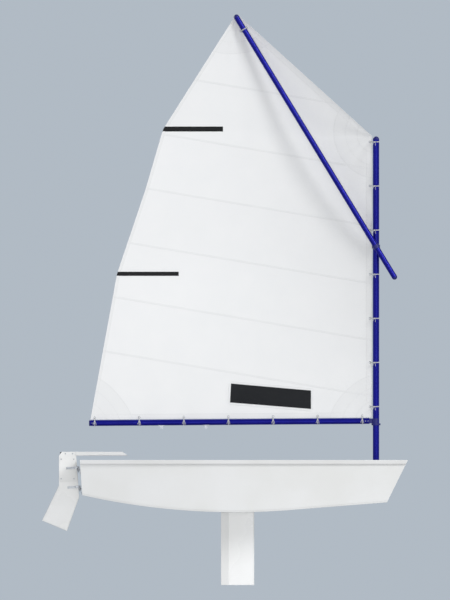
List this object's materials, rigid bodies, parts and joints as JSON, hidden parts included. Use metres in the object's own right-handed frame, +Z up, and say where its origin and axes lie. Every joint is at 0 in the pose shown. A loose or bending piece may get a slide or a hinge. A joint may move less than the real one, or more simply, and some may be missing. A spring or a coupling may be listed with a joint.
{
  "type": "sailing dinghy",
  "caption": "Small pram dinghy with a low boom, a spritsail on an unstayed mast, a daggerboard and a rudder with tiller and hinged extension.",
  "frame": {"origin": "amidships, halfway between the tops of the two transoms, on the centreline, in the still waterline of the empty boat", "axes": "+X towards the bow, +Y to port, +Z up the mast"},
  "size_m": [2.564, 1.1304, 3.9978],
  "materials": {
    "white_hull": "gloss",
    "white_trim": "satin",
    "white_foil": "gloss",
    "navy_spar": "satin",
    "navy_fitting": "satin",
    "sailcloth": "matte",
    "dark_window": "gloss",
    "dark_batten": "satin",
    "white_lashing": "matte",
    "white_bag": "satin",
    "navy_webbing": "matte",
    "steel": "satin",
    "black_grip": "matte"
  },
  "bodies": {
    "hull": {"hull_bottom": "white_hull", "hull_side_port": "white_hull", "hull_side_starboard": "white_hull", "bow_transom": "white_hull", "stern_transom": "white_hull", "gunwale_port": "white_trim", "gunwale_starboard": "white_trim", "bow_capping": "white_trim", "stern_capping": "white_trim", "mast_thwart": "white_trim", "mast_bearing": "navy_fitting", "mast_step": "white_trim", "board_case": "white_trim", "midship_frame": "white_trim", "air_bag_port": "white_bag", "air_bag_starboard": "white_bag", "air_bag_bow": "white_bag", "bag_straps_port": "navy_webbing", "bag_straps_starboard": "navy_webbing", "bag_straps_bow": "navy_webbing", "toe_straps": "navy_webbing", "sheet_eye": "steel", "gudgeons": "steel"},
    "mast": {"mast_tube": "navy_spar", "mast_head": "navy_fitting", "mast_heel": "navy_fitting", "boom_rest_collar": "navy_fitting"},
    "rig": {"boom_tube": "navy_spar", "boom_jaws": "navy_fitting", "boom_end": "navy_fitting", "boom_sheet_eyes": "steel", "sprit_tube": "navy_spar", "sprit_peak_end": "navy_fitting", "sprit_foot_end": "navy_fitting", "sprit_collar": "navy_fitting", "sail": "sailcloth", "sail_window": "dark_window", "batten_upper": "dark_batten", "batten_lower": "dark_batten", "luff_ties": "white_lashing", "foot_ties": "white_lashing", "peak_tie": "white_lashing"},
    "rudder": {"rudder_blade": "white_foil", "rudder_cheeks": "white_foil", "rudder_pintles": "steel", "tiller": "white_foil", "extension_bracket": "white_foil"},
    "tiller_extension": {"extension_knuckle": "navy_fitting", "extension_tube": "white_trim", "extension_grip": "black_grip"},
    "daggerboard": {"daggerboard": "white_foil", "daggerboard_stops": "white_foil"}
  },
  "joints": [
    {"name": "mast_turn", "type": "hinge", "parent": "hull", "child": "mast", "pos_m": [0.926, 0, 0.3], "axis": [0, 0, 1], "continuous": true},
    {"name": "boom_swing", "type": "hinge", "parent": "mast", "child": "rig", "pos_m": [0.926, 0, 0.59], "axis": [0, 0, 1], "range_deg": [-90, 90]},
    {"name": "steering", "type": "hinge", "parent": "hull", "child": "rudder", "pos_m": [-1.16396, 0, 0.315], "axis": [-0.0715, 0, 0.9974], "range_deg": [-60, 60]},
    {"name": "extension_swing", "type": "hinge", "parent": "rudder", "child": "tiller_extension", "pos_m": [-0.86196, 0.033, 0.36], "axis": [0, 0, -1], "range_deg": [0, 180]},
    {"name": "daggerboard_lift", "type": "slide", "parent": "hull", "child": "daggerboard", "axis": [0, 0, 1], "range_m": [0, 0.25]}
  ]
}
